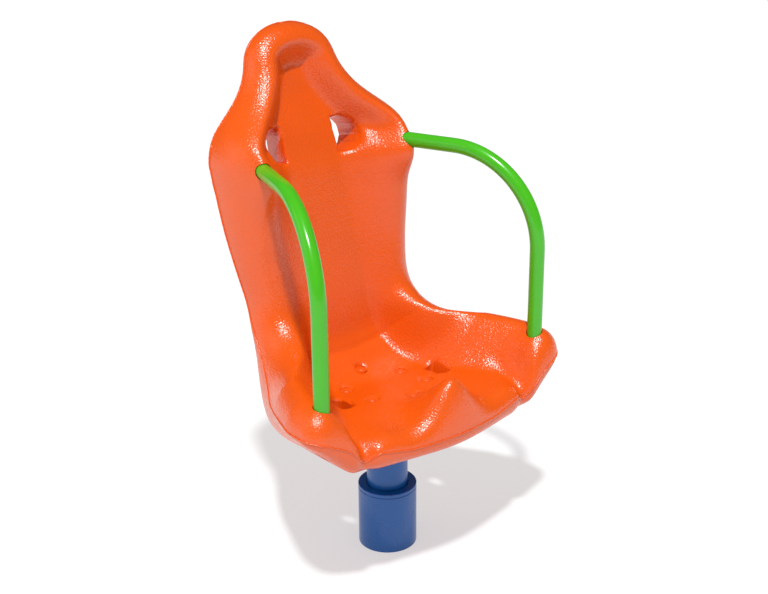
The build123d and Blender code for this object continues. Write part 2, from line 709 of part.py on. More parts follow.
with BuildPart() as cutters:
    # the hollow behind the lip
    lip_y = FRONT_Y + set_back(LIP_HOLLOW_W / 2) + 2 * WALL
    with BuildSketch(Plane.XY.offset(LIP_HOLLOW_Z)):
        with Locations((0, lip_y + LIP_HOLLOW_L / 2)):
            Rectangle(LIP_HOLLOW_W, LIP_HOLLOW_L)
    extrude(amount=LIP_HOLLOW_H)
    # the flat seating for the plate
    with BuildSketch(Plane.XY.offset(UNDERSIDE_Z)):
        Circle(PAD_R)
    extrude(amount=-DEEP / 4)
    # belt slots
    with BuildSketch(Plane.XY.offset(UNDERSIDE_Z - DEEP)):
        for side in (1, -1):
            with Locations((side * PAN_SLOT_X, PAN_SLOT_Y)):
                RectangleRounded(PAN_SLOT_W, PAN_SLOT_L, PAN_SLOT_R)
    extrude(amount=2 * DEEP)
    add(back_slots(0))
    # notches in the lip
    with BuildSketch(Plane.XY.offset(UNDERSIDE_Z - DEEP)):
        edge_y = FRONT_Y + set_back(NOTCH_X)
        for side in (1, -1):
            with BuildLine():
                Polyline((side * (NOTCH_X - NOTCH_SPREAD), edge_y - NOTCH_DEPTH),
                         (side * (NOTCH_X - NOTCH_SPREAD), edge_y - 2),
                         (side * NOTCH_X, edge_y + NOTCH_DEPTH),
                         (side * (NOTCH_X + NOTCH_SPREAD), edge_y + 4),
                         (side * (NOTCH_X + NOTCH_SPREAD), edge_y - NOTCH_DEPTH), close=True)
            make_face()
    extrude(amount=2 * DEEP)
    # seat bolts
    with BuildSketch(Plane.XY.offset(RECESS_FLOOR_Z)):
        with PolarLocations(SEAT_BOLT_R, SEAT_BOLT_COUNT, start_angle=90):
            Circle(RECESS_D / 2)
    extrude(amount=DEEP)
    with BuildSketch(Plane.XY.offset(UNDERSIDE_Z - 1)):
        with PolarLocations(SEAT_BOLT_R, SEAT_BOLT_COUNT, start_angle=90):
            Circle((SEAT_BOLT_D + BOLT_CLEAR) / 2)
    extrude(amount=RECESS_FLOOR_Z - UNDERSIDE_Z + 2)
    # grab bar sockets and the recesses for their bolts
    for side in (1, -1):
        for end, mouth in zip(bar_ends(side), SOCKET_MOUTHS):
            with BuildSketch(end):
                Circle(BAR_OD / 2 + BAR_CLEAR)
            extrude(amount=-mouth)
            with BuildSketch(end.offset(-mouth)):
                Circle(BAR_OD / 2 + SOCKET_MOUTH_CLEAR)
            extrude(amount=-DEEP / 2)
            with BuildSketch(end.offset(-1)):
                Circle((BAR_BOLT_D + BOLT_CLEAR) / 2)
            extrude(amount=SOCKET_WEB + 2)
            with BuildSketch(end.offset(SOCKET_WEB)):
                Circle(BAR_RECESS_D / 2)
            extrude(amount=DEEP / 2)

with BuildPart() as seat_shell:
    add(outer)
    with BuildSketch(Plane.XY.offset(UNDERSIDE_Z)):
        Circle(PAD_R)
    extrude(amount=WALL)
    add([hollow - [posts.part, back_slots(SLOT_WALL)], cutters.part], mode=Mode.SUBTRACT)
save(seat_shell.part, "seat_shell")

# ---------------------------------------------------------------- seat fixings
NUT_SEAT_Z = PLATE_Z - BOLT_NUT_H
WASHER_SEAT_Z = RECESS_FLOOR_Z + SEAT_WASHER_T

with BuildPart() as seat_bolts:
    with BuildSketch(Plane.XY.offset(NUT_SEAT_Z - BOLT_PROUD)):
        with PolarLocations(SEAT_BOLT_R, SEAT_BOLT_COUNT, start_angle=90):
            Circle(SEAT_BOLT_D / 2)
    extrude(amount=WASHER_SEAT_Z - NUT_SEAT_Z + BOLT_PROUD)
    with BuildSketch(Plane.XY.offset(WASHER_SEAT_Z)):
        with PolarLocations(SEAT_BOLT_R, SEAT_BOLT_COUNT, start_angle=90):
            Circle(BUTTON_D / 2)
    extrude(amount=BUTTON_H)
    rims = seat_bolts.edges().filter_by(GeomType.CIRCLE).group_by(Axis.Z)[-1]
    fillet(rims, BUTTON_H * 0.6)
    with BuildSketch(Plane.XY.offset(WASHER_SEAT_Z + BUTTON_H)):
        with PolarLocations(SEAT_BOLT_R, SEAT_BOLT_COUNT, start_angle=90):
            RegularPolygon(BUTTON_SOCKET_AF / 2, 6, major_radius=False)
    extrude(amount=-BUTTON_H / 2, mode=Mode.SUBTRACT)
save(seat_bolts.part, "seat_bolts")

with BuildPart() as seat_bolt_washers:
    with BuildSketch(Plane.XY.offset(RECESS_FLOOR_Z)):
        with PolarLocations(SEAT_BOLT_R, SEAT_BOLT_COUNT, start_angle=90):
            Circle(SEAT_WASHER_D / 2)
            Circle((SEAT_BOLT_D + BOLT_CLEAR) / 2, mode=Mode.SUBTRACT)
    extrude(amount=SEAT_WASHER_T)
save(seat_bolt_washers.part, "seat_bolt_washers")

with BuildPart() as seat_bolt_nuts:
    with BuildSketch(Plane.XY.offset(NUT_SEAT_Z)):
        with PolarLocations(SEAT_BOLT_R, SEAT_BOLT_COUNT, start_angle=90):
            RegularPolygon(BOLT_NUT_AF / 2, 6, major_radius=False)
            Circle(SEAT_BOLT_D / 2, mode=Mode.SUBTRACT)
    extrude(amount=BOLT_NUT_H)
save(seat_bolt_nuts.part, "seat_bolt_nuts")

with BuildPart() as bolt_caps:
    for k in range(SEAT_BOLT_COUNT):
        turn = math.radians(90 + 360 * k / SEAT_BOLT_COUNT)
        x, y = SEAT_BOLT_R * math.cos(turn), SEAT_BOLT_R * math.sin(turn)
        top = pan_height(x, y) - BOLT_CAP_SUNK
        with BuildSketch(Plane(origin=(x, y, top - BOLT_CAP_T))):
            Circle(BOLT_CAP_D / 2)
        extrude(amount=BOLT_CAP_T)
        with BuildSketch(Plane(origin=(x, y, top))):
            Circle(BOLT_CAP_D / 3)
        extrude(amount=BOLT_CAP_DOME, taper=40)
save(bolt_caps.part, "bolt_caps")


# ---------------------------------------------------------------- grab bars
def grab_bar(side):
    """One bent tube."""
    foot = Vector(side * BAR_X, BAR_Y, BAR_FOOT_Z)
    with BuildPart() as body:
        with BuildLine():
            Line(foot, bar_point(side, 0, 0))
            ThreePointArc(bar_point(side, 0, 0), bar_point(side, TURN / 2, 0), bar_point(side, TURN, 0))
            Line(bar_point(side, TURN, 0), bar_point(side, TURN, BAR_TOP_RUN))
        with BuildSketch(Plane(origin=foot)):
            Circle(BAR_OD / 2)
            Circle(BAR_OD / 2 - BAR_WALL, mode=Mode.SUBTRACT)
        sweep()
    return body.part


save(grab_bar(1), "left_grab_bar")
save(grab_bar(-1), "right_grab_bar")
ENDS = bar_ends(1) + bar_ends(-1)

with BuildPart() as bar_end_plugs:
    for end in ENDS:
        with BuildSketch(end.offset(-PLUG_LENGTH)):
            Circle(BAR_OD / 2 - BAR_WALL)
            Circle(BAR_BOLT_D / 2, mode=Mode.SUBTRACT)
        extrude(amount=PLUG_LENGTH)
save(bar_end_plugs.part, "bar_end_plugs")

with BuildPart() as bar_washers:
    for end in ENDS:
        with BuildSketch(end.offset(SOCKET_WEB)):
            Circle(BAR_WASHER_OD / 2)
            Circle((BAR_BOLT_D + BOLT_CLEAR) / 2, mode=Mode.SUBTRACT)
        extrude(amount=BAR_WASHER_T)
save(bar_washers.part, "bar_washers")

with BuildPart() as bar_bolts:
    for end in ENDS:
        with BuildSketch(end.offset(SOCKET_WEB + BAR_WASHER_T)):
            RegularPolygon(BAR_BOLT_AF / 2, 6, major_radius=False)
        extrude(amount=BAR_BOLT_HEAD_H)
        with BuildSketch(end.offset(-BAR_BOLT_GRIP)):
            Circle(BAR_BOLT_D / 2)
        extrude(amount=BAR_BOLT_GRIP + SOCKET_WEB + BAR_WASHER_T)
save(bar_bolts.part, "bar_bolts")
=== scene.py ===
# %% [markdown]
# # A spinning bucket seat
# A playground seat that turns on a short post: an orange moulded shell with a high back, two
# green grab bars and a blue post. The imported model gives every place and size, in metres,
# and this lesson gives the shell its soft surface and each part its finish.

# %% Load the frame
import bpy
import bmesh
import json
import math
import numpy as np
from mathutils import Matrix, Vector


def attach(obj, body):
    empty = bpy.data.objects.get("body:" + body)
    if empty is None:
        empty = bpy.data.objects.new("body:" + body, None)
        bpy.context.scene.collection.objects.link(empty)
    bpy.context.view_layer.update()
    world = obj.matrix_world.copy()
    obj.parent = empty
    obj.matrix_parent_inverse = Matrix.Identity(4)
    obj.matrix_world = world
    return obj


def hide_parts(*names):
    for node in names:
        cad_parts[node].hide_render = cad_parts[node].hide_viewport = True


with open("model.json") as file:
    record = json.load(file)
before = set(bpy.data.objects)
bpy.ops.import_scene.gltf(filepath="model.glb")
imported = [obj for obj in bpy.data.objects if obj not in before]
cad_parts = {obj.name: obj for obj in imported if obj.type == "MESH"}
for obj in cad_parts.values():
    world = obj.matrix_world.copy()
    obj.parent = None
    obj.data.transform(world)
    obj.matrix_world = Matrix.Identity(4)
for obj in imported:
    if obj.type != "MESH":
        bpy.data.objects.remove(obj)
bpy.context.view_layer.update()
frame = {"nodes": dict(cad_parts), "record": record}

# %% [markdown]
# ## Camera, light and floor
# The camera looks down from the front right, about 2.6 m away, through a 63 mm lens.
# One softened sun comes over its shoulder, and a pale sky fills the shadows, as in a
# bright studio. The sky is dimmer in reflections, so that the gloss doesn't haze the colours,
# and the pale floor glows a little, so that the shadow stays light and soft.

# %% Camera
EYE = Vector((-1.651, -1.990, 1.614))
YAW, PITCH, ROLL = math.radians(-39.59), math.radians(21.90), math.radians(-0.46)
ahead = Vector((-math.sin(YAW) * math.cos(PITCH), math.cos(YAW) * math.cos(PITCH), -math.sin(PITCH)))
level = Vector((math.cos(YAW), math.sin(YAW), 0))
above = level.cross(ahead)
right = level * math.cos(ROLL) + above * math.sin(ROLL)
up = above * math.cos(ROLL) - level * math.sin(ROLL)
cam_data = bpy.data.cameras.new("camera")
cam_data.lens = 63.33
cam_data.sensor_width = 36
cam = bpy.data.objects.new("camera", cam_data)
bpy.context.scene.collection.objects.link(cam)
turn = Matrix((right, up, -ahead)).transposed().to_4x4()
cam.matrix_world = Matrix.Translation(EYE) @ turn
bpy.context.scene.camera = cam
bpy.context.scene.view_settings.view_transform = "Standard"

# %% Lights and sky
def add_light(name, kind, energy, direction, place=(0, 0, 3), **settings):
    """A light that shines along a direction."""
    data = bpy.data.lights.new(name, kind)
    data.energy = energy
    for key, value in settings.items():
        setattr(data, key, value)
    lamp = bpy.data.objects.new(name, data)
    aim = Vector(direction).to_track_quat("-Z", "Y").to_matrix().to_4x4()
    lamp.matrix_world = Matrix.Translation(place) @ aim
    bpy.context.scene.collection.objects.link(lamp)
    return lamp


add_light("sun", "SUN", 3.0, (0.333, 0.370, -1.0), angle=math.radians(3.5))
add_light("fill", "AREA", 9, (0.75, -0.35, -0.35), place=(-2.4, 1.2, 1.8), size=2.0)
sky = bpy.data.worlds.new("sky")
sky.use_nodes = True
sky.node_tree.nodes["Background"].inputs["Color"].default_value = (1, 1, 1, 1)
path = sky.node_tree.nodes.new("ShaderNodeLightPath")
dim = sky.node_tree.nodes.new("ShaderNodeMapRange")
dim.inputs["To Min"].default_value = 0.42
dim.inputs["To Max"].default_value = 0.07
sky.node_tree.links.new(path.outputs["Is Glossy Ray"], dim.inputs["Value"])
sky.node_tree.links.new(dim.outputs["Result"], sky.node_tree.nodes["Background"].inputs["Strength"])
bpy.context.scene.world = sky
print("sky lights at", dim.inputs["To Min"].default_value,
      "and shines in gloss at", dim.inputs["To Max"].default_value)

# %% Floor
floor_mesh = bpy.data.meshes.new("floor")
floor_mesh.from_pydata([(-30, -30, 0), (30, -30, 0), (30, 30, 0), (-30, 30, 0)], [], [(0, 1, 2, 3)])
floor = bpy.data.objects.new("floor", floor_mesh)
bpy.context.scene.collection.objects.link(floor)

# %% [markdown]
# ## Finishes
# Each finish is a small node tree on object coordinates, so its grain stays on the part as
# the seat turns. A helper makes the shader and a bump made of noise at one or two scales.

# %% Material helper
def finish(name, colour, roughness, metallic=0.0, tone=0.06, tone_scale=6.0, grain=(), **shader):
    """A material: a colour that drifts a little in tone, and bumps given as (kind, scale, depth)."""
    mat = bpy.data.materials.new(name)
    mat.use_nodes = True
    nodes, links = mat.node_tree.nodes, mat.node_tree.links
    bsdf = nodes["Principled BSDF"]
    bsdf.inputs["Metallic"].default_value = metallic
    for key, value in shader.items():
        bsdf.inputs[key.replace("_", " ")].default_value = value
    where = nodes.new("ShaderNodeTexCoord")
    drift = nodes.new("ShaderNodeTexNoise")
    drift.inputs["Scale"].default_value = tone_scale
    drift.inputs["Detail"].default_value = 5
    links.new(where.outputs["Object"], drift.inputs["Vector"])
    ramp = nodes.new("ShaderNodeValToRGB")
    ramp.color_ramp.elements[0].position = 0.3
    ramp.color_ramp.elements[1].position = 0.7
    ramp.color_ramp.elements[0].color = [c * (1 - tone) for c in colour] + [1]
    ramp.color_ramp.elements[1].color = [min(c * (1 + tone), 1) for c in colour] + [1]
    links.new(drift.outputs["Fac"], ramp.inputs["Fac"])
    links.new(ramp.outputs["Color"], bsdf.inputs["Base Color"])
    spread = nodes.new("ShaderNodeMapRange")
    spread.inputs["To Min"].default_value = roughness * 0.85
    spread.inputs["To Max"].default_value = roughness * 1.15
    links.new(drift.outputs["Fac"], spread.inputs["Value"])
    links.new(spread.outputs["Result"], bsdf.inputs["Roughness"])
    last = None
    for kind, scale, depth in grain:
        texture = nodes.new("ShaderNodeTexVoronoi" if kind == "cells" else "ShaderNodeTexNoise")
        texture.inputs["Scale"].default_value = scale
        if kind == "cells":
            texture.feature = "SMOOTH_F1"
        else:
            texture.inputs["Detail"].default_value = 3
        links.new(where.outputs["Object"], texture.inputs["Vector"])
        bump = nodes.new("ShaderNodeBump")
        bump.inputs["Distance"].default_value = depth
        bump.inputs["Strength"].default_value = 1.0
        links.new(texture.outputs["Distance" if kind == "cells" else "Fac"], bump.inputs["Height"])
        if last:
            links.new(last.outputs["Normal"], bump.inputs["Normal"])
        last = bump
    if last:
        links.new(last.outputs["Normal"], bsdf.inputs["Normal"])
    return mat


# %% The finishes of this object
ORANGE = finish("orange_polyethylene", (0.78, 0.092, 0.001), 0.25, tone=0.03, tone_scale=9,
                grain=[("cells", 280, 0.0009), ("noise", 620, 0.0003)], Specular_IOR_Level=0.75)
ORANGE_CAP = finish("orange_cap", (0.78, 0.090, 0.001), 0.42, tone=0.04, tone_scale=30,
                    grain=[("noise", 900, 0.0002)])
GREEN = finish("green_powder_coat", (0.060, 0.45, 0.010), 0.24, tone=0.03, tone_scale=20,
               grain=[("noise", 240, 0.00012)], Coat_Weight=0.15, Coat_Roughness=0.12)
BLUE = finish("blue_powder_coat", (0.001, 0.092, 0.36), 0.28, tone=0.04, tone_scale=20,
              grain=[("noise", 260, 0.00014)], Coat_Weight=0.1, Coat_Roughness=0.15)
STEEL = finish("turned_steel", (0.46, 0.46, 0.47), 0.34, metallic=1.0, tone=0.08, tone_scale=40,
               grain=[("noise", 700, 0.00006)])
BRIGHT = finish("bearing_steel", (0.62, 0.62, 0.63), 0.16, metallic=1.0, tone=0.05, tone_scale=60,
                grain=[("noise", 900, 0.00003)])
STAINLESS = finish("stainless_steel", (0.60, 0.59, 0.57), 0.28, metallic=1.0, tone=0.06,
                   tone_scale=50, grain=[("noise", 600, 0.00005)])
ZINC = finish("zinc_plate", (0.52, 0.53, 0.54), 0.38, metallic=1.0, tone=0.12, tone_scale=35,
              grain=[("cells", 220, 0.0001)])
RUBBER = finish("black_rubber", (0.018, 0.018, 0.018), 0.65, tone=0.1, tone_scale=40,
                grain=[("noise", 800, 0.0001)])
FLOOR = finish("pale_floor", (0.42, 0.42, 0.42), 0.9, tone=0.004, tone_scale=3,
               grain=[("noise", 60, 0.0002)], Specular_IOR_Level=0.0,
               Emission_Color=(1, 1, 1, 1), Emission_Strength=0.52)
floor.data.materials.append(FLOOR)

FINISH_OF = {"blue_coat": BLUE, "green_coat": GREEN, "orange_plastic": ORANGE, "orange_cap": ORANGE_CAP,
             "rubber_seal": RUBBER, "bearing_steel": BRIGHT, "stainless": STAINLESS,
             "machined_steel": STEEL, "zinc_steel": ZINC}
for entry in frame["record"]["subparts"]:
    node = frame["nodes"][entry["node"]]
    node.data.materials.clear()
    node.data.materials.append(FINISH_OF[entry["material_slot"]])
print("finishes set on", len(frame["nodes"]), "nodes")

# %% [markdown]
# ## The seat's surface
# The shell is a hollow moulding whose front and back skins meet at a rim. Both skins follow
# rules: a middle line that runs back along the pan, bends up and climbs the back, and heights
# square to that line. The solid model follows the same rules with deeper notches, a tighter
# front lip, lower shoulder lobes and a narrower upper back, so this surface lies some
# millimetres off it there. Here the rules are written for whole grids of points at once.

# %% Lines of the seat, in millimetres
RECLINE = math.radians(76.8)
BEND_R = 190.0
PAN_Z = 376.0
BEND_START_Y = 127.3 - BEND_R * math.tan(RECLINE / 2)
BEND_END = BEND_R * RECLINE
FRONT = -235.0 - BEND_START_Y
TOP = BEND_END + (1103.0 - PAN_Z - BEND_R * (1 - math.cos(RECLINE))) / math.sin(RECLINE)
HEAD_ROUND = 75.0
HALF_WIDTH = [(FRONT + 60, 339), (FRONT + 130, 337), (-30, 318), (60, 282), (130, 240), (200, 212),
              (280, 204), (360, 216), (450, 227), (540, 230), (600, 234), (650, 213), (700, 150),
              (750, 114), (800, 104)]
PARTING = [(FRONT, 46), (0, 39), (90, 16), (170, -6), (260, -35), (400, -39), (600, -46), (800, -38)]
BOLSTER = [(FRONT, 97), (0, 102), (90, 96), (170, 71), (260, 30), (360, 32), (460, 56), (540, 76),
           (610, 80), (680, 30), (800, 4)]
BOLSTER_FOOT = [(FRONT, 222), (-90, 190), (0, 135), (127, 95), (BEND_END, 70), (800, 45)]
EDGE_ROLL = [(FRONT, 47), (0, 50), (BEND_END, 53), (400, 50), (540, 56), (650, 42), (800, 42)]
DISH = [(FRONT, 4), (-63, 9), (-22, 6.5), (23, 0), (68, -19), (105, -24), (171, -24), (215, -5),
        (BEND_END, 0), (300, 0), (540, 0), (620, -10), (700, -28), (800, -36)]
THICKNESS = [(FRONT, 56), (-60, 64), (0, 64), (60, 77), (100, 98), (140, 94), (200, 78), (300, 68),
             (600, 74), (800, 84)]
LIP_CREST = [(0, 4), (110, 3), (160, 12), (190, 6), (213, -4), (232, 18), (255, 70), (285, 96)]
LIP_PARTING = [(0, -26), (120, -26), (188, -15), (213, -40), (238, -12), (262, 13), (300, 32),
               (345, 46)]
POMMEL_HEIGHT = 84.0
POMMEL_SPREAD = 57.0
POMMEL_LENGTH = 145.0
NOTCH_X = 213.0            # two notches in the front lip, one beside each thigh
NOTCH_DEPTH = 15.0
NOTCH_SPREAD = 17.0
SHOULDER_X = 188.0         # the lobes that take the grab bars
SHOULDER_S = 540.0
SHOULDER_HEIGHT = 30.0

# %% [markdown]
# Two small helpers do all the blending: one reads a line of points with its corners softened,
# the other is a smooth step. Each rule of the surface is then one line of arithmetic.

# %% Blending helpers
def soft(keys, x, reach):
    """A line of (x, value) points, its corners rounded over plus and minus reach."""
    steps = np.linspace(-1, 1, 9)
    weights = np.exp(-2 * steps ** 2)
    keys = np.array(keys)
    total = sum(w * np.interp(x + k * reach, keys[:, 0], keys[:, 1]) for w, k in zip(weights, steps))
    return total / weights.sum()


def ease(start, end, x):
    """A smooth step from 0 at start to 1 at end."""
    t = np.clip((x - start) / (end - start), 0, 1)
    return t * t * (3 - 2 * t)


def roll(gap, radius):
    """The rounding of an edge: 0 on it, 1 from radius inwards."""
    return np.sqrt(np.clip(1 - (1 - np.clip(gap / radius, 0, 1)) ** 2, 0, 1))


# %% Outline of the shell
def set_back(x):
    """How far the front edge stands behind its middle, with the notch beside each thigh."""
    x = np.abs(x)
    notch = NOTCH_DEPTH * np.exp(-((x - NOTCH_X) / NOTCH_SPREAD) ** 2)
    return 33 * (1 - np.exp(-(x / 150) ** 2)) + 6 * (x / 300) ** 4 + notch


def half_width(s):
    """Half the width of the shell at distance s."""
    corner = np.clip((s - FRONT) / 55, 0, 1)
    head = np.clip((s - TOP + HEAD_ROUND) / HEAD_ROUND, 0, 1)
    width = soft(HALF_WIDTH, s, 45) - 44 * (1 - np.sqrt(1 - (1 - corner) ** 2))
    return width * np.sqrt(np.clip(1 - head ** 2.2, 0, 1))


def spread_rows(count):
    """Distances along the middle line, closer together at both ends."""
    v = np.linspace(0, 1, count)
    return FRONT + (TOP - FRONT) * (0.3 * (1 - np.cos(v * np.pi)) + 0.4 * v)


def shear(x, s):
    """The front set-back, fading out over the first 150 mm."""
    return s + set_back(x) * np.clip(1 - (s - FRONT) / 150, 0, 1)


FRONT_HALF = float(half_width(FRONT))
front_x = np.linspace(0, FRONT_HALF, 60)
side_rows = spread_rows(320)
RIM = np.vstack([np.stack([front_x, FRONT + set_back(front_x)], -1),
                 np.stack([half_width(side_rows), shear(half_width(side_rows), side_rows)], -1)[1:]])


def edge_gap(x, s):
    """The distance from each point to the rim."""
    points = np.stack([np.abs(x).ravel(), s.ravel()], -1)
    start, step = RIM[:-1], np.diff(RIM, axis=0)
    length = np.maximum((step ** 2).sum(1), 1e-12)
    best = np.empty(len(points))
    for i in range(0, len(points), 2000):
        away = points[i:i + 2000, None, :] - start[None]
        t = np.clip((away * step[None]).sum(2) / length[None], 0, 1)
        best[i:i + 2000] = np.sqrt(((away - t[..., None] * step[None]) ** 2).sum(2)).min(1)
    return best.reshape(x.shape)


print("rim points", len(RIM), "widest", round(float(RIM[:, 0].max()), 1), "mm")


# %% Sizes of the openings, in millimetres
PAN_SLOT_X, PAN_SLOT_Y = 132, -12
PAN_SLOT_HALF_X, PAN_SLOT_HALF_Y = 17, 31
PAN_SLOT_ROUND = 14
BACK_SLOT_X = 68           # its straight inner edge
BOW_X, BOW_REACH = 13.5, 40.5
BOW_HALF_HEIGHT = 38.5
RECESS_RADIUS = 13
BOLT_RING = 86


# %% Openings as distances
def rounded_box(x, y, half_x, half_y, radius):
    """Signed distance to a rounded rectangle centred at 0."""
    qx, qy = np.abs(x) - half_x + radius, np.abs(y) - half_y + radius
    outside = np.hypot(np.maximum(qx, 0), np.maximum(qy, 0))
    return outside + np.minimum(np.maximum(qx, qy), 0) - radius


def dee(x, t):
    """Signed distance to the D of a back slot, flat side at x = 0 and 54 mm wide."""
    bow = np.hypot((x - BOW_X) / BOW_REACH, (t + 1) / BOW_HALF_HEIGHT) * BOW_HALF_HEIGHT - BOW_HALF_HEIGHT
    return np.maximum(bow, -x)


SLOT_LINE = BEND_END + (860.0 - PAN_Z - BEND_R * (1 - math.cos(RECLINE))) / math.sin(RECLINE)
BOLTS = [(BOLT_RING * math.cos(math.radians(90 + 60 * k)), BOLT_RING * math.sin(math.radians(90 + 60 * k)))
         for k in range(6)]


# %% Heights of the two skins
def middle(s):
    """Where distance s lies on the middle line, and how far it has turned up."""
    turned = np.clip(s / BEND_R, 0, RECLINE)
    straight = np.maximum(s - BEND_END, 0)
    y = BEND_START_Y + np.minimum(s, 0) + BEND_R * np.sin(turned) + straight * np.cos(turned)
    return y, PAN_Z + BEND_R * (1 - np.cos(turned)) + straight * np.sin(turned), turned


def place(x, s, height):
    """Points at a height over the middle surface."""
    y, z, turned = middle(s)
    return np.stack([x, y - height * np.sin(turned), z + height * np.cos(turned)], -1)


def skins(x, s):
    """Heights of the front and back skins."""
    ax = np.abs(x)
    gap = edge_gap(x, s)
    ahead = s - FRONT - set_back(x)
    lip = 1 - ease(15, 110, ahead)
    bulb = ease(222, 278, ax)
    front_roll = soft(EDGE_ROLL, s, 40) * (1 - lip) + lip * (40 + 8 * bulb)
    foot = soft(BOLSTER_FOOT, s, 40)
    side = ease(0, 1, (ax - foot) / np.maximum(half_width(s) - front_roll - foot, 8))
    rim = ease(0, 1, (95 - gap) / (95 - 0.85 * front_roll))
    head = ease(540, 660, s)
    bolster = side * (1 - head) + rim * head
    floor_line = soft(DISH, s, 25)
    crest = floor_line + (soft(BOLSTER, s, 45) - floor_line) * bolster
    crest = crest * (1 - lip) + lip * soft(LIP_CREST, ax, 12)
    crest = crest + POMMEL_HEIGHT * np.exp(-(ax / POMMEL_SPREAD) ** 2) \
        * ease(POMMEL_LENGTH + 20, 20, ahead) ** 1.3
    crest = crest + SHOULDER_HEIGHT * np.clip(gap / 40, 0, 1) \
        * np.exp(-((ax - SHOULDER_X) / 40) ** 2 - ((s - SHOULDER_S) / 48) ** 2)
    parting = soft(PARTING, s, 40) * (1 - lip) + lip * soft(LIP_PARTING, ax, 12)
    lift = ease(215, 345, ax) * 85 * (1 - ease(0, 140, s))
    wrap = 12 * ease(0, 1, (ax / np.maximum(half_width(s), 1) - 0.45) / 0.55) * ease(100, 260, s)
    base = np.minimum(lift - soft(THICKNESS, s, 40), parting - 4) + wrap
    back_roll = 24 * lip + 50 * (1 - lip)
    front = parting + (crest - parting) * roll(gap, front_roll)
    back = parting + (base - parting) * roll(gap, back_roll)
    return front, back


# %% [markdown]
# The openings of a moulding have soft lips. The skins dip round each slot and bolt recess by
# a quarter circle, and the holes themselves are cut later, so that the cut meets the bottom
# of the dip.

# %% Soft lips and the crease
def pan_slot_gap(x, y):
    """Signed distance to the outline of the nearer pan slot."""
    return rounded_box(np.abs(x) - PAN_SLOT_X, y - PAN_SLOT_Y,
                       PAN_SLOT_HALF_X, PAN_SLOT_HALF_Y, PAN_SLOT_ROUND)


def soft_lips(x, s, front, back):
    """The skins with a rounded lip round each opening and a crease at the foot of the back."""
    ax = np.abs(x)
    where = place(x, s, front)
    flat = ease(230, 150, s)
    pan = pan_slot_gap(x, where[..., 1])
    tall = dee(ax - BACK_SLOT_X, s - SLOT_LINE)
    dip = flat * 7 * (1 - roll(pan, 7)) + (1 - flat) * 8 * (1 - roll(tall, 8))
    for bx, by in BOLTS:
        recess = np.hypot(x - bx, where[..., 1] - by) - RECESS_RADIUS
        dip = np.maximum(dip, flat * 4 * (1 - roll(recess, 4)))
    crease = 3.5 * np.exp(-((s - 148 - 20 * (ax / 150) ** 2) / 7) ** 2) * ease(165, 120, ax)
    under = pan_slot_gap(x, place(x, s, back)[..., 1])
    lift = flat * 4 * (1 - roll(under, 4)) + (1 - flat) * 6 * (1 - roll(tall, 6))
    return front - dip - crease, back + lift


# %% Grid of the shell
COLUMNS, ROWS = 141, 241
u = np.linspace(-1, 1, COLUMNS)
u = 0.75 * np.sin(u * np.pi / 2) + 0.25 * u
rows = spread_rows(ROWS)
rows[-1] -= 0.8
grid_x = u[None, :] * half_width(rows)[:, None]
grid_s = shear(grid_x, rows[:, None] + 0 * grid_x)
front, back = skins(grid_x, grid_s)
front, back = soft_lips(grid_x, grid_s, front, back)
front_points = place(grid_x, grid_s, front) / 1000
back_points = place(grid_x, grid_s, back) / 1000
print("grid", COLUMNS, "x", ROWS, "front skin z", front_points[..., 2].min(), front_points[..., 2].max())


# %% Closed shell mesh
def closed_shell(front_points, back_points, name):
    """One closed mesh from two grids that share their rim."""
    n_rows, n_cols = front_points.shape[:2]
    inner = np.zeros((n_rows, n_cols), bool)
    inner[1:-1, 1:-1] = True
    front_ids = np.arange(n_rows * n_cols).reshape(n_rows, n_cols)
    back_ids = front_ids.copy()
    back_ids[inner] = n_rows * n_cols + np.arange(inner.sum())
    points = np.vstack([front_points.reshape(-1, 3), back_points[inner]])
    quads = []
    for ids, flip in ((front_ids, False), (back_ids, True)):
        a, b, c, d = ids[:-1, :-1], ids[:-1, 1:], ids[1:, 1:], ids[1:, :-1]
        quads.append(np.stack([a, d, c, b] if flip else [a, b, c, d], -1).reshape(-1, 4))
    mesh = bpy.data.meshes.new(name)
    mesh.from_pydata(points.tolist(), [], np.vstack(quads).tolist())
    build = bmesh.new()
    build.from_mesh(mesh)
    bmesh.ops.remove_doubles(build, verts=build.verts, dist=1e-5)
    bmesh.ops.dissolve_degenerate(build, dist=1e-6, edges=build.edges)
    bmesh.ops.recalc_face_normals(build, faces=build.faces)
    if build.calc_volume(signed=True) < 0:
        bmesh.ops.reverse_faces(build, faces=build.faces)
    print(name, "open edges", sum(len(e.link_faces) != 2 for e in build.edges))
    build.to_mesh(mesh)
    build.free()
    return mesh


shell_mesh = closed_shell(front_points, back_points, "seat_shell_skin")
shell = bpy.data.objects.new("seat_shell_skin", shell_mesh)
bpy.context.scene.collection.objects.link(shell)

# %% [markdown]
# ## Cutting the openings
# The belt slots, bolt recesses and bar sockets go through or into the skins, so one boolean
# with a set of plain prisms cuts them all. The prisms take their places from the same sizes
# as the lips above, and the sockets from the bars' own line.

# %% The bars' line and their sockets, in metres
BAR_X, BAR_Y = 0.2855, -0.1516
BAR_BEND_Z = 0.6501
BAR_BEND_R = 0.1979
BAR_BEND = math.radians(91.2)
BAR_TOE_IN = math.radians(18)
BAR_TOP_RUN = 0.232
SOCKET_RADIUS = 0.0174
SOCKET_BOLT_RADIUS = 0.015


# %% Cutters
def prism(build, outline, direction, length):
    """A closed prism from an outline of points, pushed along a direction."""
    foot = [build.verts.new(Vector(p)) for p in outline]
    tip = [build.verts.new(Vector(p) + Vector(direction) * length) for p in outline]
    faces = [build.faces.new(foot[::-1]), build.faces.new(tip)]
    for i in range(len(foot)):
        j = (i + 1) % len(foot)
        faces.append(build.faces.new((foot[i], foot[j], tip[j], tip[i])))
    return faces


